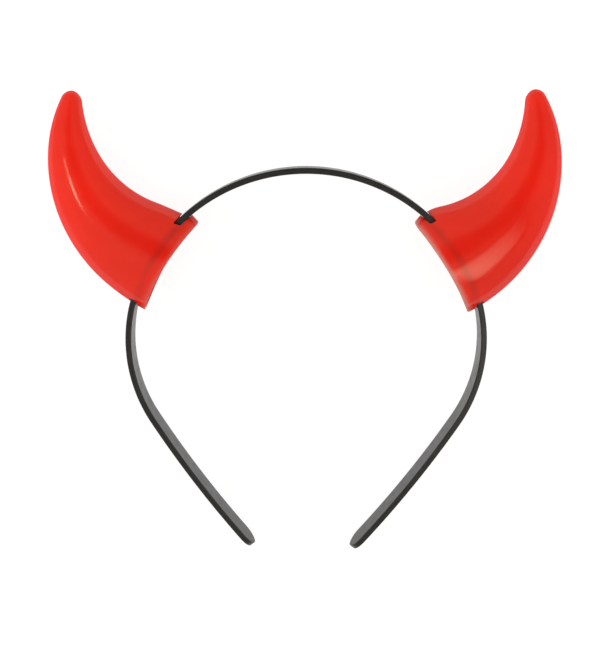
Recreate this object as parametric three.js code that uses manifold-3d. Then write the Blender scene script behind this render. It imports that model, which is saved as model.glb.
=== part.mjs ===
// Devil horns on a headband, lying on its side as it rests on a table.
// Millimetres and degrees. The pieces are drawn in the plane of the headband: x to the wearer's
// side, y to the crown, z square to the plane. That drawing's origin is the middle of the head.
import * as THREE from 'three';
import { mergeVertices } from 'three/addons/utils/BufferGeometryUtils.js';
import Module from 'manifold-3d';

// Headband: a flat strip on a chain of arcs, from the crown down to each tip.
const BAND_WIDTH = 10.4;
const BAND_THICKNESS = 2.3;
const BAND_EDGE_RADIUS = 0.4;
const CROWN_RADIUS = 69.2;
const CROWN_SWEEP = 75;
const SIDE_RADIUS = 60.3;
const LEG_RADIUS = 450;
const TIP_LENGTH = 6;

// Horn: an oval that tapers along an arc, with an open base that the strip runs through. The base may
// be spread over a share of that arc. The bridge between the rim and the crown slot reaches up to a
// height above the rim, and is bent out where its face looks to the crown.
const AXIS_LENGTH = 81.6;
const AXIS_ROOT = 61.2;
const AXIS_START_LEAN = -17;
const AXIS_TURN = 92.5;
const BASE_HALF_WIDTH = 20.35;
const BASE_HALF_DEPTH = 12.5;
const SPREAD_SHARE = 0.65;
const SPREAD_POWER = 1.3;
const WIDTH_POWER = 1.35;
const DEPTH_POWER = 2;
const HORN_TIP_RADIUS = 2.9;
const HORN_WALL = 1.2;
const HORN_TIP_WALL = 2.4;
const RIM_MIDDLE = 63.4;
const RIM_RADIUS = 87;
const BRIDGE_TOP = 3.2;
const BODY_FOOT = 6.2;
const BRIDGE_SIDE = 0.8;
const BRIDGE_MIDDLE = 0.96;

// Slots of a horn: gaps to the strip, inside and outside its curve, and below and above its edges.
const EAR_SLOT = { inside: 0.4, outside: 0.4, below: 0.3, above: 0.3 };
const SLOT_CORNER_RADIUS = 0.5;
const SLOT_ARC = 30;
const DRUM_LENGTH = 50;

// The two sides differ a little: how far the strip's side is bent in, how long its leg is, where the
// horn sits on the strip, from the crown, how far its soft base is spread, and pushed towards the ear
// near the rim, how far round the strip the bridge ends, and how the rim slants and the crown slot is
// cut. The bodies of both horns lean the same way over their seats.
const LEFT = {
  side: -1,
  sideSweep: 46,
  legLength: 66.6,
  hornSeat: 56.4,
  base: {
    crown: { spread: 0.6, push: 5.6 },
    ear: { spread: 0.6, push: -0.8 },
    pushHeight: 17,
    bridgeEnd: 16.7,
  },
  rimSlant: 2,
  crownSlot: { inside: 0.4, outside: 0.4, below: 0.3, above: 1.6 },
};
const RIGHT = {
  side: 1,
  sideSweep: 47.5,
  legLength: 67.9,
  hornSeat: 57.1,
  base: {
    crown: { spread: 2.2, push: 9 },
    ear: { spread: 1.4, push: 0 },
    pushHeight: 12,
    bridgeEnd: 17.2,
  },
  rimSlant: 6,
  crownSlot: { inside: 0.4, outside: 0.3, below: 0.3, above: 1.2 },
};
const HORN_ROCK = 1.6;

// Facets. The rounding of a tip ends in a small flat, at this angle of its last quarter turn.
const BAND_STEP = 6;
const TIP_STEPS = 5;
const TIP_END_ANGLE = 82;
const EDGE_STEPS = 2;
const HORN_START = -0.1;
const HORN_STEPS = 22;
const HORN_STEP_POWER = 1.4;
const HORN_TIP_STEPS = 4;
const HORN_TIP_END_ANGLE = 84;
const HORN_SIDES = 32;
const SLOT_STEPS = 15;
const SLOT_CORNER_STEPS = 2;
const DRUM_STEPS = 120;
const MERGE_DISTANCE = 1e-5;

// The tilt on the table is found by halving this range again and again.
const MOST_TILT = 10;
const TILT_HALVINGS = 40;

const wasm = await Module();
wasm.setup();
const radians = THREE.MathUtils.degToRad;

// A closed mesh around a row of rings with equal numbers of points, with a flat fan at each end.
function skin(rings) {
  const sides = rings[0].length;
  const last = (rings.length - 1) * sides;
  const points = rings.flat();
  const faces = [];
  for (let row = 0; row < last; row += sides) {
    for (let side = 0; side < sides; side += 1) {
      const a = row + side;
      const b = row + ((side + 1) % sides);
      faces.push(a, b, b + sides, a, b + sides, a + sides);
    }
  }
  for (const row of [0, last]) {
    const centre = new THREE.Vector3();
    points.slice(row, row + sides).forEach((point) => centre.addScaledVector(point, 1 / sides));
    const middle = points.push(centre) - 1;
    for (let side = 0; side < sides; side += 1) {
      const a = row + side;
      const b = row + ((side + 1) % sides);
      faces.push(middle, ...(row === last ? [a, b] : [b, a]));
    }
  }
  const geometry = new THREE.BufferGeometry().setFromPoints(points);
  geometry.setIndex(faces);
  return geometry;
}

// Faces turned outwards, whichever way round they were listed.
function faceOut(geometry) {
  const places = geometry.getAttribute('position');
  const faces = Array.from(geometry.getIndex().array);
  const corner = (i) => new THREE.Vector3().fromBufferAttribute(places, faces[i]);
  let volume = 0;
  for (let i = 0; i < faces.length; i += 3) {
    volume += corner(i).dot(corner(i + 1).cross(corner(i + 2)));
  }
  geometry.setIndex(volume < 0 ? faces.reverse() : faces);
  return geometry;
}

function toSolid(geometry) {
  geometry.deleteAttribute('normal');
  geometry.deleteAttribute('uv');
  const merged = faceOut(mergeVertices(geometry, MERGE_DISTANCE));
  const vertProperties = Float32Array.from(merged.getAttribute('position').array);
  const triVerts = Uint32Array.from(merged.getIndex().array);
  return new wasm.Manifold(new wasm.Mesh({ numProp: 3, vertProperties, triVerts }));
}

function toGeometry(solid) {
  const { numProp, vertProperties, triVerts } = solid.getMesh();
  const points = [];
  for (let i = 0; i < vertProperties.length; i += numProp) {
    points.push(new THREE.Vector3().fromArray(vertProperties, i));
  }
  const geometry = new THREE.BufferGeometry().setFromPoints(points);
  geometry.setIndex(Array.from(triVerts));
  return geometry;
}

// Marks down one side of the strip from the crown, closing up round the tip. Each has its place on
// the centre line, the direction square to the strip's face, and half the strip's width there.
function bandMarks({ side, sideSweep, legLength }) {
  const arcs = [
    { radius: CROWN_RADIUS, length: CROWN_RADIUS * radians(CROWN_SWEEP) },
    { radius: SIDE_RADIUS, length: SIDE_RADIUS * radians(sideSweep) },
    { radius: LEG_RADIUS, length: legLength },
  ];
  const tipStart = arcs.reduce((sum, arc) => sum + arc.length, -TIP_LENGTH);
  const lengths = [];
  for (let length = 0; length < tipStart; length += BAND_STEP) {
    lengths.push(length);
  }
  for (let step = 0; step <= TIP_STEPS; step += 1) {
    lengths.push(tipStart + TIP_LENGTH * Math.sin(radians((TIP_END_ANGLE * step) / TIP_STEPS)));
  }
  return lengths.map((length) => {
    const place = new THREE.Vector2(0, CROWN_RADIUS);
    let heading = 0;
    let left = length;
    for (const { radius, length: whole } of arcs) {
      const bend = Math.min(left, whole) / radius;
      place.x += side * radius * (Math.sin(heading + bend) - Math.sin(heading));
      place.y += radius * (Math.cos(heading + bend) - Math.cos(heading));
      heading += bend;
      left -= bend * radius;
    }
    const square = new THREE.Vector2(side * Math.sin(heading), Math.cos(heading));
    const pastStart = Math.max(0, length - tipStart) / TIP_LENGTH;
    return { place, square, halfWidth: (BAND_WIDTH / 2) * Math.sqrt(1 - pastStart ** 2) };
  });
}

// One section of the strip: a rectangle with rounded edges.
function bandRing({ place, square, halfWidth }) {
  const round = Math.min(BAND_EDGE_RADIUS, halfWidth / 2);
  const corners = [
    { out: 1, up: 1, from: 0 },
    { out: -1, up: 1, from: 90 },
    { out: -1, up: -1, from: 180 },
    { out: 1, up: -1, from: 270 },
  ];
  const ring = [];
  for (const { out, up, from } of corners) {
    for (let step = 0; step <= EDGE_STEPS; step += 1) {
      const angle = radians(from + (90 * step) / EDGE_STEPS);
      const thick = out * (BAND_THICKNESS / 2 - round) + round * Math.cos(angle);
      const wide = up * (halfWidth - round) + round * Math.sin(angle);
      ring.push(new THREE.Vector3(place.x + square.x * thick, place.y + square.y * thick, wide));
    }
  }
  return ring;
}

function makeBand() {
  const marks = [...bandMarks(LEFT).slice(1).reverse(), ...bandMarks(RIGHT)];
  return faceOut(skin(marks.map(bandRing)));
}

// A horn is drawn over the crown, with y out through its seat, and turned to its own side later.
// Its axis is straight below the root and bends towards the crown above it; share is the part of
// the axis length from the root.
function hornAxis(share) {
  const radius = AXIS_LENGTH / radians(AXIS_TURN);
  const root = radians(AXIS_START_LEAN);
  const lean = root + radians(AXIS_TURN) * Math.max(share, 0);
  const straight = AXIS_LENGTH * Math.min(share, 0);
  return {
    x: straight * Math.sin(root) + radius * (Math.cos(root) - Math.cos(lean)),
    y: AXIS_ROOT + straight * Math.cos(root) + radius * (Math.sin(lean) - Math.sin(root)),
    lean,
  };
}

function taper(share, base, power) {
  return HORN_TIP_RADIUS + (base - HORN_TIP_RADIUS) * (1 - Math.max(share, 0) ** power);
}

// The place at a width across the horn's axis, towards the crown.
function acrossAxis({ x, y, lean }, width) {
  return { x: x + width * Math.cos(lean), y: y - width * Math.sin(lean) };
}

function aboveRim({ x, y }) {
  return Math.hypot(x, y - RIM_MIDDLE + RIM_RADIUS) - RIM_RADIUS;
}

// How far the wall is pushed in at half a width, where the horn's outside has its own half width.
// Crownward is 1 on the crown side of the wall and -1 on the ear side.
function basePush(base, axis, outside, half, crownward) {
  const { push } = crownward > 0 ? base.crown : base.ear;
  const near = 1 - aboveRim(acrossAxis(axis, half * crownward)) / base.pushHeight;
  const bodyPush = push * THREE.MathUtils.clamp(near, 0, 1) ** 2;
  const height = aboveRim(acrossAxis(axis, (half - bodyPush) * crownward));
  const below = 1 - THREE.MathUtils.smoothstep(height, BRIDGE_TOP, BODY_FOOT);
  const inBridge = below * THREE.MathUtils.smoothstep(crownward, BRIDGE_SIDE, BRIDGE_MIDDLE);
  const edge = acrossAxis(axis, outside);
  const slope = Math.tan(radians(base.bridgeEnd));
  const bridgePush = (edge.x - slope * edge.y) / (Math.cos(axis.lean) + slope * Math.sin(axis.lean));
  return THREE.MathUtils.lerp(bodyPush, bridgePush, inBridge);
}

// Oval rings from below the rim to a rounded end, drawn in by inset all round and by endWall at the tip.
function hornRings({ side, base }, inset, endWall) {
  const end = 1 - endWall / AXIS_LENGTH;
  const roundLength = (HORN_TIP_RADIUS - inset) / AXIS_LENGTH;
  const roundStart = end - roundLength;
  const shares = [];
  for (let step = 0; step < HORN_STEPS; step += 1) {
    shares.push(HORN_START + (roundStart - HORN_START) * (step / HORN_STEPS) ** HORN_STEP_POWER);
  }
  for (let step = 0; step <= HORN_TIP_STEPS; step += 1) {
    const angle = radians((HORN_TIP_END_ANGLE * step) / HORN_TIP_STEPS);
    shares.push(roundStart + roundLength * Math.sin(angle));
  }
  return shares.map((share) => {
    const axis = hornAxis(share);
    const pastStart = Math.max(0, (share - roundStart) / roundLength);
    const round = Math.sqrt(1 - pastStart ** 2);
    const fade = THREE.MathUtils.clamp(1 - share / SPREAD_SHARE, 0, 1) ** SPREAD_POWER;
    const halfDepth = round * (taper(share, BASE_HALF_DEPTH, DEPTH_POWER) - inset);
    const ring = [];
    for (let k = 0; k < HORN_SIDES; k += 1) {
      const angle = (2 * Math.PI * k) / HORN_SIDES;
      const crownward = Math.cos(angle);
      const { spread } = crownward > 0 ? base.crown : base.ear;
      const outside = taper(share, BASE_HALF_WIDTH, WIDTH_POWER) + spread * fade;
      const half = round * (outside - inset);
      const push = basePush(base, axis, outside, half, crownward);
      const { x, y } = acrossAxis(axis, (half - push) * crownward);
      ring.push(new THREE.Vector3(-side * x, y, halfDepth * Math.sin(angle)));
    }
    return ring;
  });
}

// A bar along the strip's crown arc, from inside a horn out through its wall towards one side,
// larger than the strip by the slot's gaps.
function slotBar({ inside, outside, below, above }, towards) {
  const from = radians(towards > 0 ? 90 - SLOT_ARC : 90);
  const to = from + radians(SLOT_ARC);
  const inner = CROWN_RADIUS - BAND_THICKNESS / 2 - inside + SLOT_CORNER_RADIUS;
  const outer = CROWN_RADIUS + BAND_THICKNESS / 2 + outside - SLOT_CORNER_RADIUS;
  const outline = new THREE.Shape();
  outline.absarc(0, 0, outer, from, to, false);
  outline.absarc(0, 0, inner, to, from, true);
  outline.closePath();
  const depth = BAND_WIDTH + below + above - 2 * SLOT_CORNER_RADIUS;
  const bar = new THREE.ExtrudeGeometry(outline, {
    depth,
    curveSegments: SLOT_STEPS,
    bevelSize: SLOT_CORNER_RADIUS,
    bevelThickness: SLOT_CORNER_RADIUS,
    bevelSegments: SLOT_CORNER_STEPS,
  });
  return bar.translate(0, 0, SLOT_CORNER_RADIUS - BAND_WIDTH / 2 - below);
}

// A drum whose side cuts the rim to a shallow hollow that clears the head. It slants, so that the
// rim reaches a little further down on the upper side of the object as it lies.
function rimDrum(slant) {
  const drum = new THREE.CylinderGeometry(RIM_RADIUS, RIM_RADIUS, DRUM_LENGTH, DRUM_STEPS);
  drum.rotateX(Math.PI / 2).translate(0, -RIM_RADIUS, 0);
  return drum.rotateX(radians(slant)).translate(0, RIM_MIDDLE, 0);
}

// A horn's body, rocked about its seat on the strip.
function hornBody(horn, inset, endWall) {
  const body = skin(hornRings(horn, inset, endWall));
  body.translate(0, -CROWN_RADIUS, 0).rotateZ(radians(HORN_ROCK));
  return toSolid(body.translate(0, CROWN_RADIUS, 0));
}

function makeHorn(horn) {
  const cuts = [
    hornBody(horn, HORN_WALL, HORN_TIP_WALL),
    toSolid(slotBar(horn.crownSlot, -horn.side)),
    toSolid(slotBar(EAR_SLOT, horn.side)),
    toSolid(rimDrum(horn.rimSlant)),
  ];
  return toGeometry(cuts.reduce((solid, cut) => solid.subtract(cut), hornBody(horn, 0, 0)));
}

// Carries a horn round the head to its seat.
function seatHorn(horn, { side, hornSeat }) {
  horn.rotation.z = radians(-side * hornSeat);
  return horn;
}

function lowest(meshes, tilt) {
  const point = new THREE.Vector3();
  let least = Infinity;
  for (const mesh of meshes) {
    const places = mesh.geometry.getAttribute('position');
    for (let i = 0; i < places.count; i += 1) {
      point.fromBufferAttribute(places, i).applyMatrix4(mesh.matrixWorld);
      least = Math.min(least, point.y * Math.sin(tilt) + point.z * Math.cos(tilt));
    }
  }
  return least;
}

// The tilt at which the horns and the tips of the strip touch the table together.
function restTilt(band, horns) {
  let low = 0;
  let high = radians(MOST_TILT);
  for (let halving = 0; halving < TILT_HALVINGS; halving += 1) {
    const middle = (low + high) / 2;
    if (lowest(horns, middle) < lowest([band], middle)) {
      low = middle;
    } else {
      high = middle;
    }
  }
  return low;
}

const blackPlastic = new THREE.MeshStandardMaterial({ color: '#2b2d2c', roughness: 0.4, metalness: 0 });
const redPlastic = new THREE.MeshStandardMaterial({ color: '#e4301f', roughness: 0.3, metalness: 0 });

function named(name, geometry, material) {
  const mesh = new THREE.Mesh(geometry, material);
  mesh.name = name;
  return mesh;
}

const headband = named('headband', makeBand(), blackPlastic);
const hornLeft = named('horn_left', makeHorn(LEFT), redPlastic);
const hornRight = named('horn_right', makeHorn(RIGHT), redPlastic);

const object = new THREE.Group();
object.add(headband, seatHorn(hornLeft, LEFT), seatHorn(hornRight, RIGHT));
object.updateMatrixWorld(true);
object.rotation.x = restTilt(headband, [hornLeft, hornRight]);

// On the table, with the origin under the middle of the object's box.
const resting = new THREE.Box3().setFromObject(object, true);
const middle = resting.getCenter(new THREE.Vector3());
object.position.set(-middle.x, -middle.y, -resting.min.z);

export default object;
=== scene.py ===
import bmesh
import bpy
import numpy as np
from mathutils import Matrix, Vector


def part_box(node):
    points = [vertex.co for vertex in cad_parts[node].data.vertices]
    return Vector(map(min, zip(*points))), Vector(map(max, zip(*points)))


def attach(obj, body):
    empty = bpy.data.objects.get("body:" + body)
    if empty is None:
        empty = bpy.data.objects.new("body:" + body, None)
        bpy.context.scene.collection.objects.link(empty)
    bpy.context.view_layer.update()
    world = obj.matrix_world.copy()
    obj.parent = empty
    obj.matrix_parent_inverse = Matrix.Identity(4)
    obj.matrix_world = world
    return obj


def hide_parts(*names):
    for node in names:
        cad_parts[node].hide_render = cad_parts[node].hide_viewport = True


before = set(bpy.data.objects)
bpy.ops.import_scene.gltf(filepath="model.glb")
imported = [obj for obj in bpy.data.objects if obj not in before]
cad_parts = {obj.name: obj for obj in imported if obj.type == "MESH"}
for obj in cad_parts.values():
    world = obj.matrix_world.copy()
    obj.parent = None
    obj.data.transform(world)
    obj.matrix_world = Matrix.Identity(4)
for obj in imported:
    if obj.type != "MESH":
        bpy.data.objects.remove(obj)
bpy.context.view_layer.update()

MM = 0.001

# Strip: a flat bar on a chain of arcs, from the crown down to each tip.
STRIP_WIDTH = 10.4
STRIP_THICKNESS = 2.3
STRIP_EDGE_RADIUS = 0.45
CROWN_RADIUS = 69.2
CROWN_SWEEP = 75
SIDE_RADIUS = 60.3
LEG_RADIUS = 450
TIP_LENGTH = 6

# Horn: an oval that tapers along an arc to a rounded tip. Its base is spread a little, and the spread dies
# out over a share of the arc.
AXIS_LENGTH = 81.6
AXIS_ROOT = 61.2
AXIS_START_LEAN = -17
AXIS_TURN = 92.5
BASE_HALF_WIDTH = 20.35
BASE_HALF_DEPTH = 12.5
WIDTH_POWER = 1.35
DEPTH_POWER = 2
SPREAD_SHARE = 0.65
SPREAD_POWER = 1.3
HORN_TIP_RADIUS = 2.9
HORN_WALL = 1.2
HORN_TIP_WALL = 2.4

# Rim: it lies on a shallow drum that clears the head. Its trimmed lip is rounded, and is paler than the
# wall, partly as cut vinyl is and partly as a painted highlight. The last rings of the wall above it have
# these shares of that paleness.
RIM_MIDDLE = 63.4
RIM_RADIUS = 87
RIM_INNER_ROUND = 0.2
LIP_PALE_AND_HIGHLIGHT_FADE = (0.1, 0.35, 0.7, 0.95)

# Bridge: the wall between the rim and the crown slot. Its top and the foot of the body are heights above
# the rim's drum. Its side and middle are cosines of the angle round the horn, from the side of the crown.
BRIDGE_TOP = 3.2
BODY_FOOT = 6.2
BRIDGE_SIDE = 0.8
BRIDGE_MIDDLE = 0.96

# Slots: gaps to the strip, inside and outside its curve, and below and above its edges. A slot is cut from
# inside the hollow to past the wall, and its mouth is rounded.
EAR_SLOT = {"inside": 0.4, "outside": 0.4, "below": 0.3, "above": 0.3}
SLOT_CORNER_RADIUS = 0.5
SLOT_MOUTH_RADIUS = 0.2
SLOT_MOUTH_ANGLE = 70
SLOT_START = 12
SLOT_PAST = 0.5
SLOT_END = 6

# The two halves differ a little: in how the strip is bent, where the horn sits on it, how far the soft
# base is spread, how far its wall is pushed in near the rim, how far round the head from the seat its
# bridge ends, how its rim is trimmed and how its crown slot is cut.
LEFT = {
    "strip": {"side": -1, "side_sweep": 46, "leg_length": 66.6},
    "seat": {"side": -1, "horn_seat": 56.4},
    "base": {
        "crown": {"spread": 0.6, "push": 5.6},
        "ear": {"spread": 0.6, "push": -0.8},
        "push_height": 17,
        "bridge_end": 16.7,
    },
    # pale: the lip's paleness, partly cut vinyl and partly a painted highlight.
    "rim": {"slant": 2, "outer_round": 0.5, "pale": 0.3},
    "crown_slot": {"inside": 0.15, "outside": 0.3, "below": 0.3, "above": 1.6},
}
RIGHT = {
    "strip": {"side": 1, "side_sweep": 47.5, "leg_length": 67.9},
    "seat": {"side": 1, "horn_seat": 57.1},
    "base": {
        "crown": {"spread": 2.2, "push": 9},
        "ear": {"spread": 1.4, "push": 0},
        "push_height": 12,
        "bridge_end": 17.2,
    },
    # pale: the lip's paleness, partly cut vinyl and partly a painted highlight.
    "rim": {"slant": 6, "outer_round": 0.7, "pale": 1},
    "crown_slot": {"inside": 0.15, "outside": 0.15, "below": 0.3, "above": 1.2},
}

# Both horns' bodies lean the same way over their seats, and the whole headband leans on the table.
HORN_ROCK = 1.6
TABLE_TILT = 3.63

# Fineness of the meshes, and of the searches for where a wall meets another face.
STRIP_STEP = 1.5
TIP_STEPS = 14
LAST_TIP_ANGLE = 88
EDGE_STEPS = 5
EDGE_GUARD = 0.25
HORN_SIDES = 112
HORN_ROWS = 90
HORN_ROW_POWER = 1.2
HORN_TIP_ROWS = 12
LIP_STEPS = 5
SLOT_MOUTH_STEPS = 5
SLOT_POINT_GAP = 0.8
SHARP_ANGLE = 40
BASE_SHARES = (-0.2, 0.3)
HALVINGS = 30


def turn(points, angle, first, second):
    """Points turned by an angle in degrees, from the first axis towards the second."""
    turned = np.array(points, float)
    cos, sin = np.cos(np.radians(angle)), np.sin(np.radians(angle))
    turned[..., first] = points[..., first] * cos - points[..., second] * sin
    turned[..., second] = points[..., first] * sin + points[..., second] * cos
    return turned


def skin(name, rings):
    """A closed mesh around rings of points, with a fan over each end, faces out."""
    rows, sides, _ = rings.shape
    ends = rings[[0, -1]].mean(axis=1)
    index = np.arange(rows * sides).reshape(rows, sides)
    beside = np.roll(index, -1, axis=1)
    quads = np.stack([index[:-1], beside[:-1], beside[1:], index[1:]], axis=-1)
    fans = []
    for end, row in ((0, 0), (1, rows - 1)):
        middle = np.full(sides, rows * sides + end)
        fans += np.stack([middle, index[row], beside[row]], axis=-1).tolist()
    mesh = bpy.data.meshes.new(name)
    points = np.concatenate([rings.reshape(-1, 3), ends])
    mesh.from_pydata((points * MM).tolist(), [], quads.reshape(-1, 4).tolist() + fans)
    shape = bmesh.new()
    shape.from_mesh(mesh)
    bmesh.ops.recalc_face_normals(shape, faces=shape.faces)
    if shape.calc_volume(signed=True) < 0:
        bmesh.ops.reverse_faces(shape, faces=shape.faces)
    shape.to_mesh(mesh)
    shape.free()
    piece = bpy.data.objects.new(name, mesh)
    bpy.context.scene.collection.objects.link(piece)
    return piece


def rounded_bar(half_thick, half_wide, radius):
    """Section of a bar with rounded edges, and with points near each edge that keep its flats flat."""
    section = []
    for quarter, (out, up) in enumerate(((1, 1), (-1, 1), (-1, -1), (1, -1))):
        centre = np.array([out * (half_thick - radius), up * (half_wide - radius)])
        angles = np.radians(90 * quarter + np.linspace(0, 90, EDGE_STEPS + 1))
        arc = centre + radius * np.stack([np.cos(angles), np.sin(angles)], axis=-1)
        guard = min(EDGE_GUARD, half_thick - radius, half_wide - radius) / 2
        before, after = (angles[0] - np.pi / 2, angles[-1] + np.pi / 2)
        section.append(arc[0] + guard * np.array([np.cos(before), np.sin(before)]))
        section.extend(arc)
        section.append(arc[-1] + guard * np.array([np.cos(after), np.sin(after)]))
    return np.array(section)


def filled(section, gap):
    """A section with more points in its straight sides, no further apart than a gap."""
    points = []
    for start, end in zip(section, np.roll(section, -1, axis=0)):
        count = int(np.ceil(np.linalg.norm(end - start) / gap))
        points += [start + (end - start) * step / count for step in range(count)]
    return np.array(points)


def strip_side(side, side_sweep, leg_length):
    """Rings down one side of the strip from the crown, closing up round the tip."""
    arcs = (
        (CROWN_RADIUS, CROWN_RADIUS * np.radians(CROWN_SWEEP)),
        (SIDE_RADIUS, SIDE_RADIUS * np.radians(side_sweep)),
        (LEG_RADIUS, leg_length),
    )
    tip_start = sum(length for _, length in arcs) - TIP_LENGTH
    steps = int(tip_start / STRIP_STEP)
    tip_angles = np.radians(np.linspace(0, LAST_TIP_ANGLE, TIP_STEPS + 1))
    straight = np.linspace(0, tip_start, steps, endpoint=False)
    rings = []
    for length in (*straight, *(tip_start + TIP_LENGTH * np.sin(tip_angles))):
        x, y, heading, left = 0.0, CROWN_RADIUS, 0.0, length
        for radius, whole in arcs:
            bend = min(left, whole) / radius
            x += side * radius * (np.sin(heading + bend) - np.sin(heading))
            y += radius * (np.cos(heading + bend) - np.cos(heading))
            heading += bend
            left -= bend * radius
        past = max(0, length - tip_start) / TIP_LENGTH
        half_wide = STRIP_WIDTH / 2 * np.sqrt(1 - past**2)
        section = rounded_bar(STRIP_THICKNESS / 2, half_wide, min(STRIP_EDGE_RADIUS, half_wide / 2))
        out_x, out_y = side * np.sin(heading), np.cos(heading)
        thick, wide = section.T
        rings.append(np.stack([x + out_x * thick, y + out_y * thick, wide], axis=-1))
    return rings


def strip_rings():
    """Rings along the whole strip, from the left tip over the crown to the right tip."""
    return np.array(strip_side(**LEFT["strip"])[:0:-1] + strip_side(**RIGHT["strip"]))


def horn_axis(share):
    """Place and lean of the horn's axis. Share is the part of its length from the root."""
    radius = AXIS_LENGTH / np.radians(AXIS_TURN)
    root = np.radians(AXIS_START_LEAN)
    lean = root + np.radians(AXIS_TURN) * np.maximum(share, 0)
    straight = AXIS_LENGTH * np.minimum(share, 0)
    x = straight * np.sin(root) + radius * (np.cos(root) - np.cos(lean))
    y = AXIS_ROOT + straight * np.cos(root) + radius * (np.sin(lean) - np.sin(root))
    return x, y, lean


def across_axis(axis, distance):
    """Place at a distance from the axis, square to it, on the side of the crown."""
    x, y, lean = axis
    return x + distance * np.cos(lean), y - distance * np.sin(lean)


def taper(share, base, power):
    """Half of the horn's width or depth at a share of its axis, from that of its base to the tip's."""
    return HORN_TIP_RADIUS + (base - HORN_TIP_RADIUS) * (1 - np.clip(share, 0, 1) ** power)


def eased(part):
    """A part of the way from 0 to 1, with a soft start and end."""
    part = np.clip(part, 0, 1)
    return part**2 * (3 - 2 * part)


def above_drum(x, y):
    """Height of a place above the drum that the rim lies on."""
    return np.hypot(x, y - RIM_MIDDLE + RIM_RADIUS) - RIM_RADIUS


class Wall:
    """One face of a horn's wall, drawn in by inset, that ends short of the tip by end_wall. The body is
    rocked about its seat, and the rim is cut square to the seat, but slants out of the headband's plane."""

    def __init__(self, base, rock, slant, inset, end_wall):
        self.base = base
        self.rock = rock
        self.slant = slant
        self.inset = inset
        self.end = 1 - end_wall / AXIS_LENGTH
        self.round_length = (HORN_TIP_RADIUS - inset) / AXIS_LENGTH
        self.round_start = self.end - self.round_length

    def base_push(self, axis, outside, half_width, crownward):
        """How far the wall of the soft base is pushed in near the rim. In the bridge, it is so far that the
        horn's outside ends at the bridge's end, square to the strip."""
        push = np.where(crownward > 0, self.base["crown"]["push"], self.base["ear"]["push"])
        height = above_drum(*across_axis(axis, half_width * crownward))
        body_push = push * np.clip(1 - height / self.base["push_height"], 0, 1) ** 2
        height = above_drum(*across_axis(axis, (half_width - body_push) * crownward))
        in_bridge = eased((BODY_FOOT - height) / (BODY_FOOT - BRIDGE_TOP))
        in_bridge = in_bridge * eased((crownward - BRIDGE_SIDE) / (BRIDGE_MIDDLE - BRIDGE_SIDE))
        slope = np.tan(np.radians(self.base["bridge_end"]))
        edge_x, edge_y = across_axis(axis, outside)
        lean = axis[2]
        bridge_push = (edge_x - slope * edge_y) / (np.cos(lean) + slope * np.sin(lean))
        return body_push + in_bridge * (bridge_push - body_push)

    def point(self, share, angle):
        """Point of the face at a share of the axis, and at an angle round it from the side of the crown."""
        axis = horn_axis(share)
        past = np.clip((share - self.round_start) / self.round_length, 0, 1)
        closing = np.sqrt(1 - past**2)
        crownward = np.cos(angle)
        spread = np.where(crownward > 0, self.base["crown"]["spread"], self.base["ear"]["spread"])
        spread = spread * np.clip(1 - share / SPREAD_SHARE, 0, 1) ** SPREAD_POWER
        outside = taper(share, BASE_HALF_WIDTH, WIDTH_POWER) + spread
        half_width = closing * (outside - self.inset)
        half_depth = closing * (taper(share, BASE_HALF_DEPTH, DEPTH_POWER) - self.inset)
        push = self.base_push(axis, outside, half_width, crownward)
        x, y = across_axis(axis, (half_width - push) * crownward)
        points = np.stack([x, y, half_depth * np.sin(angle)], axis=-1)
        seat = np.array([0, CROWN_RADIUS, 0])
        return turn(points - seat, self.rock, 0, 1) + seat

    def share_where(self, angle, is_below):
        """Share of the axis at which the wall rises out of a face that it is below at first, by halving."""
        low, high = (np.full_like(angle, share) for share in BASE_SHARES)
        for _ in range(HALVINGS):
            middle = (low + high) / 2
            below = is_below(self.point(middle, angle))
            low, high = np.where(below, middle, low), np.where(below, high, middle)
        return low

    def rim_share(self, angle):
        """Share of the axis at which the wall meets the rim."""
        middle_of_rim = np.array([0, RIM_MIDDLE, 0])

        def below_rim(points):
            level = turn(points - middle_of_rim, -self.slant, 1, 2) + middle_of_rim
            return above_drum(level[..., 0], level[..., 1]) < 0

        return self.share_where(angle, below_rim)

    def arc_to(self, radius, height, towards):
        """Angle round the head, from the seat, at which the wall is met at a radius and a height."""

        def inside_radius(points):
            return np.hypot(points[..., 0], points[..., 1]) < radius

        low, high = np.full_like(height, -np.pi / 2), np.full_like(height, np.pi / 2)
        for _ in range(HALVINGS):
            bend = (low + high) / 2
            angle = bend if towards > 0 else np.pi - bend
            place = self.point(self.share_where(angle, inside_radius), angle)
            below = place[..., 2] < height
            low, high = np.where(below, bend, low), np.where(below, high, bend)
        return np.arctan2(place[..., 0], place[..., 1])

    def rows(self, angle, lip):
        """Rings from a lip's height above the rim to the tip, with the rim's points and the ways up
        from them."""
        rim = self.rim_share(angle)
        edge = self.point(rim, angle)
        step = 1e-4
        rise = (self.point(rim + step, angle) - edge) / step
        speed = np.linalg.norm(rise, axis=-1)
        start = rim + lip / speed
        parts = np.linspace(0, 1, HORN_ROWS) ** HORN_ROW_POWER
        shares = [start + (self.round_start - start) * part for part in parts]
        for bend in np.radians(np.linspace(0, LAST_TIP_ANGLE, HORN_TIP_ROWS + 1))[1:]:
            shares.append(np.full_like(angle, self.round_start + self.round_length * np.sin(bend)))
        rings = np.array([self.point(share, angle) for share in shares])
        return rings, edge, rise / speed[:, None]


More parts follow.
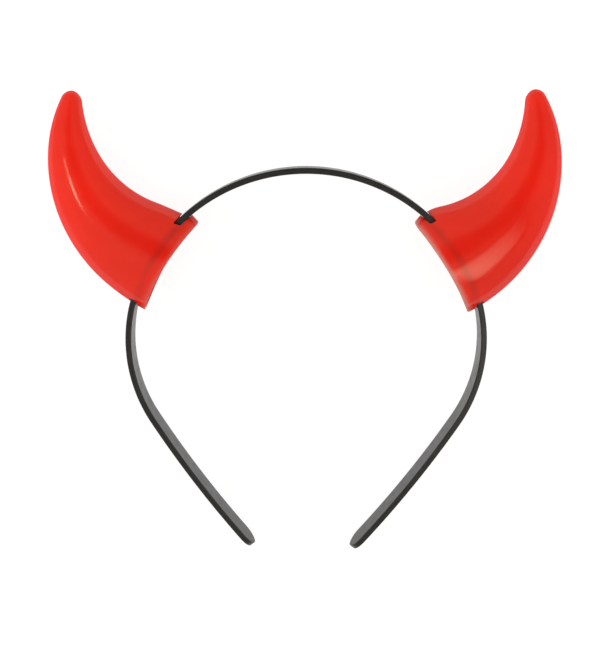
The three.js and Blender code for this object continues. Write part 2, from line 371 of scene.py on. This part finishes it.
def horn_rings(base, rock, slant, outer_round, pale):
    """Rings from the tip down the outside, round the rim's lip, and up the inside to the end of the hollow,
    and how pale the trimmed lip is at each point: partly cut vinyl, partly a painted highlight."""
    angle = np.linspace(0, 2 * np.pi, HORN_SIDES, endpoint=False)
    outside, outer_edge, outer_up = Wall(base, rock, slant, 0, 0).rows(angle, outer_round)
    inner_wall = Wall(base, rock, slant, HORN_WALL, HORN_TIP_WALL)
    inside, inner_edge, inner_up = inner_wall.rows(angle, RIM_INNER_ROUND)
    across = inner_edge - outer_edge
    across /= np.linalg.norm(across, axis=-1)[:, None]
    bends = np.radians(np.linspace(0, 90, LIP_STEPS + 1))
    outer_lip = [
        outer_edge + outer_round * (outer_up * (1 - np.sin(b)) + across * (1 - np.cos(b)))
        for b in bends[1:]
    ]
    inner_lip = [
        inner_edge + RIM_INNER_ROUND * (inner_up * (1 - np.cos(b)) - across * (1 - np.sin(b)))
        for b in bends[:-1]
    ]
    rings = np.concatenate([outside[::-1], outer_lip, inner_lip, inside])
    lip_pale_and_highlight = np.zeros(len(rings))
    lip_pale_and_highlight[len(outside) : len(outside) + len(outer_lip) + len(inner_lip)] = pale
    lip_pale_and_highlight[len(outside) - len(LIP_PALE_AND_HIGHLIGHT_FADE) : len(outside)] = pale * np.array(LIP_PALE_AND_HIGHLIGHT_FADE)
    return rings, np.repeat(lip_pale_and_highlight, HORN_SIDES)


def slot_rings(wall, towards, inside, outside, below, above):
    """Rings of a bar along the strip, out through a horn's wall towards the crown, 1, or the ear, -1. It is
    larger than the strip by the slot's gaps, and flares to the slot's rounded mouth."""
    half_thick = (STRIP_THICKNESS + inside + outside) / 2
    half_wide = (STRIP_WIDTH + below + above) / 2
    bends = np.radians(np.linspace(0, SLOT_MOUTH_ANGLE, SLOT_MOUTH_STEPS + 1))
    depths = SLOT_MOUTH_RADIUS * (np.sin(bends[-1]) - np.sin(bends))
    flares = SLOT_MOUTH_RADIUS * (1 - np.cos(bends))
    past = flares[-1] + SLOT_PAST * np.tan(bends[-1])
    rings = []
    for depth, flare in ((SLOT_START, 0), *zip(depths, flares), (-SLOT_PAST, past), (-SLOT_END, past)):
        section = rounded_bar(half_thick + flare, half_wide + flare, SLOT_CORNER_RADIUS + flare)
        section = filled(section, SLOT_POINT_GAP)
        radius = CROWN_RADIUS + (outside - inside) / 2 + section[:, 0]
        height = (above - below) / 2 + section[:, 1]
        arc = wall.arc_to(radius, height, towards) - towards * depth / radius
        rings.append(np.stack([radius * np.sin(arc), radius * np.cos(arc), height], axis=-1))
    return np.array(rings)


def carried(points, side, horn_seat):
    """Points drawn at the crown, mirrored to a side and carried round the head to a horn's seat."""
    return turn(points * np.array([-side, 1, 1]), -side * horn_seat, 0, 1)


# The strip's place on the table is its node's, and the horns keep their place to the strip.
strip_points = strip_rings()
leaned = turn(strip_points, TABLE_TILT, 1, 2)
low, high = (np.array(corner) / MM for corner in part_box("headband"))
shift = (low + high) / 2 - (leaned.min(axis=(0, 1)) + leaned.max(axis=(0, 1))) / 2


def laid(points):
    """Points of the headband's plane, as it lies on the table."""
    return turn(points, TABLE_TILT, 1, 2) + shift


def make_horn(name, half):
    """A horn's shell with its two slots cut round the strip."""
    base, seat, rim = half["base"], half["seat"], half["rim"]
    rock = -seat["side"] * HORN_ROCK
    rings, lip_pale_and_highlight = horn_rings(base, rock, **rim)
    horn = skin(name, laid(carried(rings, **seat)))
    # The middles of the two end fans come after the rings' points, and aren't on the lip.
    paleness = horn.data.attributes.new("lip_pale_and_highlight", "FLOAT", "POINT")
    paleness.data.foreach_set("value", [*lip_pale_and_highlight, 0, 0])
    wall = Wall(base, rock, rim["slant"], 0, 0)
    slots = (slot_rings(wall, 1, **half["crown_slot"]), slot_rings(wall, -1, **EAR_SLOT))
    bars = [skin("slot_bar", laid(carried(slot, **seat))) for slot in slots]
    for bar in bars:
        cut = horn.modifiers.new("slot", "BOOLEAN")
        cut.object = bar
        cut.operation = "DIFFERENCE"
        cut.solver = "EXACT"
    shape = horn.evaluated_get(bpy.context.evaluated_depsgraph_get())
    whole = horn.data
    horn.data = bpy.data.meshes.new_from_object(shape)
    horn.modifiers.clear()
    bpy.data.meshes.remove(whole)
    # A bar's object goes with its mesh.
    for bar in bars:
        bpy.data.meshes.remove(bar.data)
    return horn


def smooth(piece):
    """Soft shading, apart from edges that are sharper than an angle."""
    piece.data.shade_smooth()
    piece.data.set_sharp_from_angle(angle=np.radians(SHARP_ANGLE))


def linear(code):
    """An sRGB hex colour as linear red, green, blue and alpha."""
    values = [int(code[i : i + 2], 16) / 255 for i in (1, 3, 5)]
    return (*[v / 12.92 if v <= 0.04045 else ((v + 0.055) / 1.055) ** 2.4 for v in values], 1.0)


def node(tree, kind, inputs=None, **settings):
    """A node with its settings. An input is a value, or the socket that it is linked from."""
    made = tree.nodes.new(kind)
    for name, value in settings.items():
        setattr(made, name, value)
    for name, value in (inputs or {}).items():
        if isinstance(value, bpy.types.NodeSocket):
            tree.links.new(value, made.inputs[name])
        else:
            made.inputs[name].default_value = value
    return made


def new_material(name):
    material = bpy.data.materials.new(name)
    material.use_nodes = True
    material.node_tree.nodes.clear()
    return material, material.node_tree


# Vinyl: sizes of the patterns in its colour, gloss and surface. The painted shade of the strip seen through
# the wall lies between two distances from the middle of the head, and the painted shade that darkens the
# base dies out between two more.
VINYL_CLOUD = 14
VINYL_HANDLING = 5
VINYL_RIPPLE = 11
VINYL_RIPPLE_HEIGHT = 0.4
PAINTED_STRIP_SHADE_FROM = 66
PAINTED_STRIP_SHADE_TO = 70.8
PAINTED_STRIP_SHADE_WAVER = 0.6
PAINTED_STRIP_SHADE_WAVER_LENGTH = 6
PAINTED_STRIP_SHADE_BLOTCH = 8
PAINTED_BASE_SHADE_FROM = 78
PAINTED_BASE_SHADE_TO = 108

# Strip plastic: size of its scuffs.
STRIP_SCUFF = 3


def painted_see_through_shade(tree, place):
    """How far the thin wall is darkened by painted shade: a little towards the base, for the dark hollow,
    and along a soft blotched line, for the black strip seen through it."""
    in_plane = node(
        tree,
        "ShaderNodeMapping",
        {"Vector": place, "Location": shift * MM, "Rotation": (np.radians(TABLE_TILT), 0, 0)},
        vector_type="TEXTURE",
    )
    flat = node(
        tree,
        "ShaderNodeVectorMath",
        {0: in_plane.outputs["Vector"], 1: (1, 1, 0)},
        operation="MULTIPLY",
    )
    from_head = node(tree, "ShaderNodeVectorMath", {0: flat.outputs["Vector"]}, operation="LENGTH")
    waver = node(
        tree,
        "ShaderNodeTexNoise",
        {"Vector": place, "Scale": 1 / (PAINTED_STRIP_SHADE_WAVER_LENGTH * MM), "Detail": 3.0},
    )
    wavering = node(
        tree,
        "ShaderNodeMath",
        {0: waver.outputs["Fac"], 1: PAINTED_STRIP_SHADE_WAVER * MM, 2: from_head.outputs["Value"]},
        operation="MULTIPLY_ADD",
    )
    painted_strip_shade = node(
        tree,
        "ShaderNodeMapRange",
        {"Value": wavering.outputs["Value"], "From Min": PAINTED_STRIP_SHADE_FROM * MM, "From Max": PAINTED_STRIP_SHADE_TO * MM},
    )
    painted_strip_shade_line = node(tree, "ShaderNodeValToRGB", {"Fac": painted_strip_shade.outputs["Result"]})
    painted_strip_shade_line.color_ramp.interpolation = "EASE"
    painted_strip_shade_line.color_ramp.elements[0].color = (0, 0, 0, 1)
    painted_strip_shade_line.color_ramp.elements[1].color = (0, 0, 0, 1)
    painted_strip_shade_line.color_ramp.elements.new(0.5).color = (1, 1, 1, 1)
    blotches = node(
        tree,
        "ShaderNodeTexNoise",
        {"Vector": place, "Scale": 1 / (PAINTED_STRIP_SHADE_BLOTCH * MM), "Detail": 1.0},
    )
    painted_strip_shade_share = node(
        tree,
        "ShaderNodeMapRange",
        {
            "Value": blotches.outputs["Fac"],
            "From Min": 0.35,
            "From Max": 0.65,
            "To Min": 0.14,
            "To Max": 0.34,
        },
    )
    painted_base_shade_share = node(
        tree,
        "ShaderNodeMapRange",
        {
            "Value": from_head.outputs["Value"],
            "From Min": PAINTED_BASE_SHADE_FROM * MM,
            "From Max": PAINTED_BASE_SHADE_TO * MM,
            "To Min": 0.15,
            "To Max": 0.0,
        },
        interpolation_type="SMOOTHSTEP",
    )
    painted_shade_share = node(
        tree,
        "ShaderNodeMath",
        {
            0: painted_strip_shade_line.outputs["Color"],
            1: painted_strip_shade_share.outputs["Result"],
            2: painted_base_shade_share.outputs["Result"],
        },
        operation="MULTIPLY_ADD",
    )
    return painted_shade_share.outputs["Value"]


def moulded_vinyl():
    """Thin soft PVC from a polished mould: a deep red that light sinks into, under a clear soft gloss,
    with the faint ripple of a wall that gives under a finger."""
    material, tree = new_material("red_moulded_vinyl")
    place = node(tree, "ShaderNodeTexCoord").outputs["Object"]
    clouds = node(
        tree,
        "ShaderNodeTexNoise",
        {"Vector": place, "Scale": 1 / (VINYL_CLOUD * MM), "Detail": 2.0},
    )
    colour = node(tree, "ShaderNodeValToRGB", {"Fac": clouds.outputs["Fac"]})
    colour.color_ramp.elements[0].position = 0.3
    colour.color_ramp.elements[0].color = linear("#e21607")
    colour.color_ramp.elements[1].position = 0.7
    colour.color_ramp.elements[1].color = linear("#e81c0b")
    # Painted shade: the red is mixed towards a dark red near the base and along the line of the strip
    # inside.
    wall = node(
        tree,
        "ShaderNodeMix",
        {"Factor": painted_see_through_shade(tree, place), "A": colour.outputs["Color"], "B": linear("#8a150e")},
        data_type="RGBA",
    )
    # The trimmed lip of the rim is paler, partly as a cut through vinyl is and partly as a painted
    # highlight.
    lip_pale_and_highlight = node(tree, "ShaderNodeAttribute", attribute_name="lip_pale_and_highlight")
    wall_and_lip = node(
        tree,
        "ShaderNodeMix",
        {"Factor": lip_pale_and_highlight.outputs["Fac"], "A": wall.outputs["Result"], "B": linear("#ce7f78")},
        data_type="RGBA",
    )
    handling = node(
        tree,
        "ShaderNodeTexNoise",
        {"Vector": place, "Scale": 1 / (VINYL_HANDLING * MM), "Detail": 4.0},
    )
    gloss = node(
        tree,
        "ShaderNodeMapRange",
        {
            "Value": handling.outputs["Fac"],
            "From Min": 0.3,
            "From Max": 0.7,
            "To Min": 0.12,
            "To Max": 0.17,
        },
    )
    ripple = node(
        tree,
        "ShaderNodeTexNoise",
        {"Vector": place, "Scale": 1 / (VINYL_RIPPLE * MM), "Detail": 1.0},
    )
    bump = node(
        tree,
        "ShaderNodeBump",
        {"Height": ripple.outputs["Fac"], "Strength": 0.2, "Distance": VINYL_RIPPLE_HEIGHT * MM},
    )
    # Bloom on soft vinyl dulls the gloss where the wall is seen along its face.
    along = node(tree, "ShaderNodeLayerWeight", {"Blend": 0.5})
    bloom = node(
        tree,
        "ShaderNodeMapRange",
        {
            "Value": along.outputs["Facing"],
            "From Min": 0.25,
            "From Max": 0.65,
            "To Min": 0.5,
            "To Max": 0.02,
        },
    )
    shader = node(
        tree,
        "ShaderNodeBsdfPrincipled",
        {
            "Base Color": wall_and_lip.outputs["Result"],
            "Roughness": gloss.outputs["Result"],
            "IOR": 1.53,
            "Specular IOR Level": bloom.outputs["Result"],
            "Specular Tint": linear("#fffcdd"),
            "Normal": bump.outputs["Normal"],
            "Subsurface Weight": 0.5,
            "Subsurface Radius": (1.0, 0.2, 0.12),
            "Subsurface Scale": 1.0 * MM,
        },
    )
    node(tree, "ShaderNodeOutputMaterial", {"Surface": shader.outputs["BSDF"]})
    return material


def moulded_strip_plastic():
    """Hard polystyrene from a smooth mould: near black, with a soft sheen that greys where it is seen
    along its face."""
    material, tree = new_material("black_moulded_polystyrene")
    place = node(tree, "ShaderNodeTexCoord").outputs["Object"]
    scuffs = node(
        tree,
        "ShaderNodeTexNoise",
        {"Vector": place, "Scale": 1 / (STRIP_SCUFF * MM), "Detail": 5.0},
    )
    colour = node(tree, "ShaderNodeValToRGB", {"Fac": scuffs.outputs["Fac"]})
    colour.color_ramp.elements[0].position = 0.35
    colour.color_ramp.elements[0].color = linear("#131312")
    colour.color_ramp.elements[1].position = 0.75
    colour.color_ramp.elements[1].color = linear("#1b1b1a")
    gloss = node(
        tree,
        "ShaderNodeMapRange",
        {
            "Value": scuffs.outputs["Fac"],
            "From Min": 0.3,
            "From Max": 0.7,
            "To Min": 0.28,
            "To Max": 0.38,
        },
    )
    shader = node(
        tree,
        "ShaderNodeBsdfPrincipled",
        {"Base Color": colour.outputs["Color"], "Roughness": gloss.outputs["Result"], "IOR": 1.5},
    )
    node(tree, "ShaderNodeOutputMaterial", {"Surface": shader.outputs["BSDF"]})
    return material


# Table top and lights, in metres apart from the size of the table top's faint clouds.
FLOOR_RADIUS = 5.0
FLOOR_SIDES = 96
FLOOR_DROP = 0.1 * MM
FLOOR_CLOUD = 60
FLOOR_GLOW = 0.9
WARM_LIGHT = "#fffaf2"

# Softbox: the place that it shines on and its way and distance from there, its size and its glow. The last
# three are shares of its half sizes: where its left end is full, where it starts to fade to the right, and
# where its long sides are full.
RIGHT_BASE = Vector((0.065, 0.028, 0.025))
SOFTBOX_WAY = (-37, 57)
SOFTBOX_DISTANCE = 0.5
SOFTBOX_SIZE = (0.26, 0.32)
SOFTBOX_GLOW = 3.3
SOFTBOX_LEFT_FULL = -0.75
SOFTBOX_FADE_START = -0.6
SOFTBOX_SIDE_FULL = 0.55

# Light tent: the way to the middle of its dim gap, how distances from there are drawn in along each axis,
# where its edge starts and ends, how the gap and the walls glow, and their shares at left and right.
GAP_WAY = (70, 82)
GAP_DRAWN_IN = (0.55, 1, 1)
GAP_EDGE_START = 0.09
GAP_EDGE_END = 0.37
GAP_GLOW = 0.11
WALL_GLOW = 0.55
LEFT_SHARE = 1.2
RIGHT_SHARE = 0.85

# Camera: fitted to the near and far edges of the strip.
CAMERA_PLACE = (0, 0.0659, 0.389)
CAMERA_TILT = -9.85
CAMERA_LENS = 53.43
CAMERA_SENSOR_HEIGHT = 36


def make_floor():
    """A large white table top that is lit from below, so that shadows on it are faint."""
    angles = np.linspace(0, 2 * np.pi, FLOOR_SIDES, endpoint=False)
    rim = np.stack([np.cos(angles), np.sin(angles), np.zeros_like(angles)], axis=-1) * FLOOR_RADIUS
    mesh = bpy.data.meshes.new("table_top")
    mesh.from_pydata((rim - np.array([0, 0, FLOOR_DROP])).tolist(), [], [list(range(len(rim)))])
    floor = bpy.data.objects.new("table_top", mesh)
    bpy.context.scene.collection.objects.link(floor)
    material, tree = new_material("white_matt_acrylic")
    place = node(tree, "ShaderNodeTexCoord").outputs["Object"]
    clouds = node(
        tree,
        "ShaderNodeTexNoise",
        {"Vector": place, "Scale": 1 / (FLOOR_CLOUD * MM), "Detail": 2.0},
    )
    colour = node(tree, "ShaderNodeValToRGB", {"Fac": clouds.outputs["Fac"]})
    colour.color_ramp.elements[0].color = linear("#686868")
    colour.color_ramp.elements[1].color = linear("#6c6c6c")
    shader = node(
        tree,
        "ShaderNodeBsdfPrincipled",
        {
            "Base Color": colour.outputs["Color"],
            "Roughness": 0.9,
            "Specular IOR Level": 0.1,
            "Emission Color": linear("#ffffff"),
            "Emission Strength": FLOOR_GLOW,
        },
    )
    node(tree, "ShaderNodeOutputMaterial", {"Surface": shader.outputs["BSDF"]})
    mesh.materials.append(material)


def toward(azimuth, elevation):
    """Direction at an azimuth from +X towards +Y, and an elevation, in degrees."""
    azimuth, elevation = np.radians(azimuth), np.radians(elevation)
    level = np.cos(elevation)
    return Vector((np.cos(azimuth) * level, np.sin(azimuth) * level, np.sin(elevation)))


def set_up(light, place, aim):
    """Puts a light in its place, turned to its aim and unseen by the camera."""
    light.location = place
    light.rotation_euler = (Vector(aim) - Vector(place)).to_track_quat("-Z", "Y").to_euler()
    light.visible_camera = False


def make_light(name, place, aim, size, watts, in_gloss=False, spread=180):
    """A soft lamp that lights the pieces, and is mirrored in their gloss only if asked for."""
    lamp = bpy.data.lights.new(name, "AREA")
    lamp.shape = "RECTANGLE"
    lamp.size, lamp.size_y = size
    lamp.energy = watts
    lamp.color = linear(WARM_LIGHT)[:3]
    lamp.spread = np.radians(spread)
    light = bpy.data.objects.new(name, lamp)
    bpy.context.scene.collection.objects.link(light)
    light.visible_glossy = in_gloss
    set_up(light, place, aim)


def make_softbox():
    """A panel that shows only in gloss, on the right horn. It is brightest near its left end, fades out to
    the right, and is soft at its long sides."""
    half_wide, half_high = np.array(SOFTBOX_SIZE) / 2
    corners = [(x * half_wide, y * half_high, 0) for x, y in ((-1, -1), (1, -1), (1, 1), (-1, 1))]
    mesh = bpy.data.meshes.new("right_softbox")
    mesh.from_pydata(corners, [], [(0, 1, 2, 3)])
    panel = bpy.data.objects.new("right_softbox", mesh)
    bpy.context.scene.collection.objects.link(panel)
    panel.visible_diffuse = False
    panel.visible_shadow = False
    set_up(panel, RIGHT_BASE + SOFTBOX_DISTANCE * toward(*SOFTBOX_WAY), RIGHT_BASE)
    material, tree = new_material("white_softbox_cloth")
    on_panel = node(tree, "ShaderNodeTexCoord").outputs["Object"]
    place = node(tree, "ShaderNodeSeparateXYZ", {"Vector": on_panel})
    left_end = node(
        tree,
        "ShaderNodeMapRange",
        {
            "Value": place.outputs["X"],
            "From Min": -half_wide,
            "From Max": SOFTBOX_LEFT_FULL * half_wide,
        },
        interpolation_type="SMOOTHSTEP",
    )
    rightward = node(
        tree,
        "ShaderNodeMapRange",
        {
            "Value": place.outputs["X"],
            "From Min": half_wide,
            "From Max": SOFTBOX_FADE_START * half_wide,
            "To Max": SOFTBOX_GLOW,
        },
    )
    off_middle = node(tree, "ShaderNodeMath", {0: place.outputs["Y"]}, operation="ABSOLUTE")
    long_sides = node(
        tree,
        "ShaderNodeMapRange",
        {
            "Value": off_middle.outputs["Value"],
            "From Min": half_high,
            "From Max": SOFTBOX_SIDE_FULL * half_high,
        },
        interpolation_type="SMOOTHSTEP",
    )
    along = node(
        tree,
        "ShaderNodeMath",
        {0: left_end.outputs["Result"], 1: rightward.outputs["Result"]},
        operation="MULTIPLY",
    )
    strength = node(
        tree,
        "ShaderNodeMath",
        {0: along.outputs["Value"], 1: long_sides.outputs["Result"]},
        operation="MULTIPLY",
    )
    glow = node(
        tree,
        "ShaderNodeEmission",
        {"Color": linear(WARM_LIGHT), "Strength": strength.outputs["Value"]},
    )
    node(tree, "ShaderNodeOutputMaterial", {"Surface": glow.outputs["Emission"]})
    mesh.materials.append(material)


def make_world():
    """Bright walls all round, brightest to the left, with a dim gap overhead that is longer from left to
    right."""
    world = bpy.data.worlds.new("light_tent")
    bpy.context.scene.world = world
    world.use_nodes = True
    tree = world.node_tree
    tree.nodes.clear()
    way = node(tree, "ShaderNodeTexCoord").outputs["Generated"]
    from_gap = node(tree, "ShaderNodeVectorMath", {0: way, 1: toward(*GAP_WAY)}, operation="SUBTRACT")
    drawn_in = node(
        tree,
        "ShaderNodeVectorMath",
        {0: from_gap.outputs["Vector"], 1: GAP_DRAWN_IN},
        operation="MULTIPLY",
    )
    distance = node(tree, "ShaderNodeVectorMath", {0: drawn_in.outputs["Vector"]}, operation="LENGTH")
    glow = node(
        tree,
        "ShaderNodeMapRange",
        {
            "Value": distance.outputs["Value"],
            "From Min": GAP_EDGE_START,
            "From Max": GAP_EDGE_END,
            "To Min": GAP_GLOW,
            "To Max": WALL_GLOW,
        },
        interpolation_type="SMOOTHSTEP",
    )
    rightward = node(tree, "ShaderNodeSeparateXYZ", {"Vector": way})
    share = node(
        tree,
        "ShaderNodeMapRange",
        {"Value": rightward.outputs["X"], "From Min": -1.0, "To Min": LEFT_SHARE, "To Max": RIGHT_SHARE},
    )
    strength = node(
        tree,
        "ShaderNodeMath",
        {0: glow.outputs["Result"], 1: share.outputs["Result"]},
        operation="MULTIPLY",
    )
    sky = node(
        tree,
        "ShaderNodeBackground",
        {"Color": linear(WARM_LIGHT), "Strength": strength.outputs["Value"]},
    )
    node(tree, "ShaderNodeOutputWorld", {"Surface": sky.outputs["Background"]})


def make_camera():
    data = bpy.data.cameras.new("camera")
    data.sensor_fit = "VERTICAL"
    data.sensor_height = CAMERA_SENSOR_HEIGHT
    data.lens = CAMERA_LENS
    camera = bpy.data.objects.new("camera", data)
    bpy.context.scene.collection.objects.link(camera)
    camera.location = CAMERA_PLACE
    camera.rotation_euler = (np.radians(CAMERA_TILT), 0, 0)
    bpy.context.scene.camera = camera


make_camera()
make_floor()
make_world()
make_light("overhead", place=(0, 0, 1.2), aim=(0, 0, 0), size=(1.2, 1.2), watts=5.8)
make_light("left_fill", place=(-0.95, -0.1, 0.5), aim=(0, 0, 0), size=(0.8, 0.8), watts=3.6)
make_light("right_fill", place=(0.95, 0.1, 0.5), aim=(0, 0, 0), size=(0.8, 0.8), watts=3.2)
make_light(
    "left_strip_light",
    place=(-0.33, 0.066, 0.455),
    aim=(-0.08, 0.05, 0.02),
    size=(0.11, 0.01),
    watts=0.0085,
    in_gloss=True,
    spread=50,
)
make_softbox()
bpy.context.scene.view_settings.view_transform = "Standard"

vinyl = moulded_vinyl()
black_plastic = moulded_strip_plastic()
pieces = (
    (skin("strip", laid(strip_points)), "headband", "band_plastic", black_plastic),
    (make_horn("left_horn", LEFT), "horn_left", "horn_plastic", vinyl),
    (make_horn("right_horn", RIGHT), "horn_right", "horn_plastic", vinyl),
)
for piece, cad_node, slot, material in pieces:
    smooth(piece)
    piece.data.materials.clear()
    piece.data.materials.append(material)
    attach(piece, "root")
    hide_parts(cad_node)
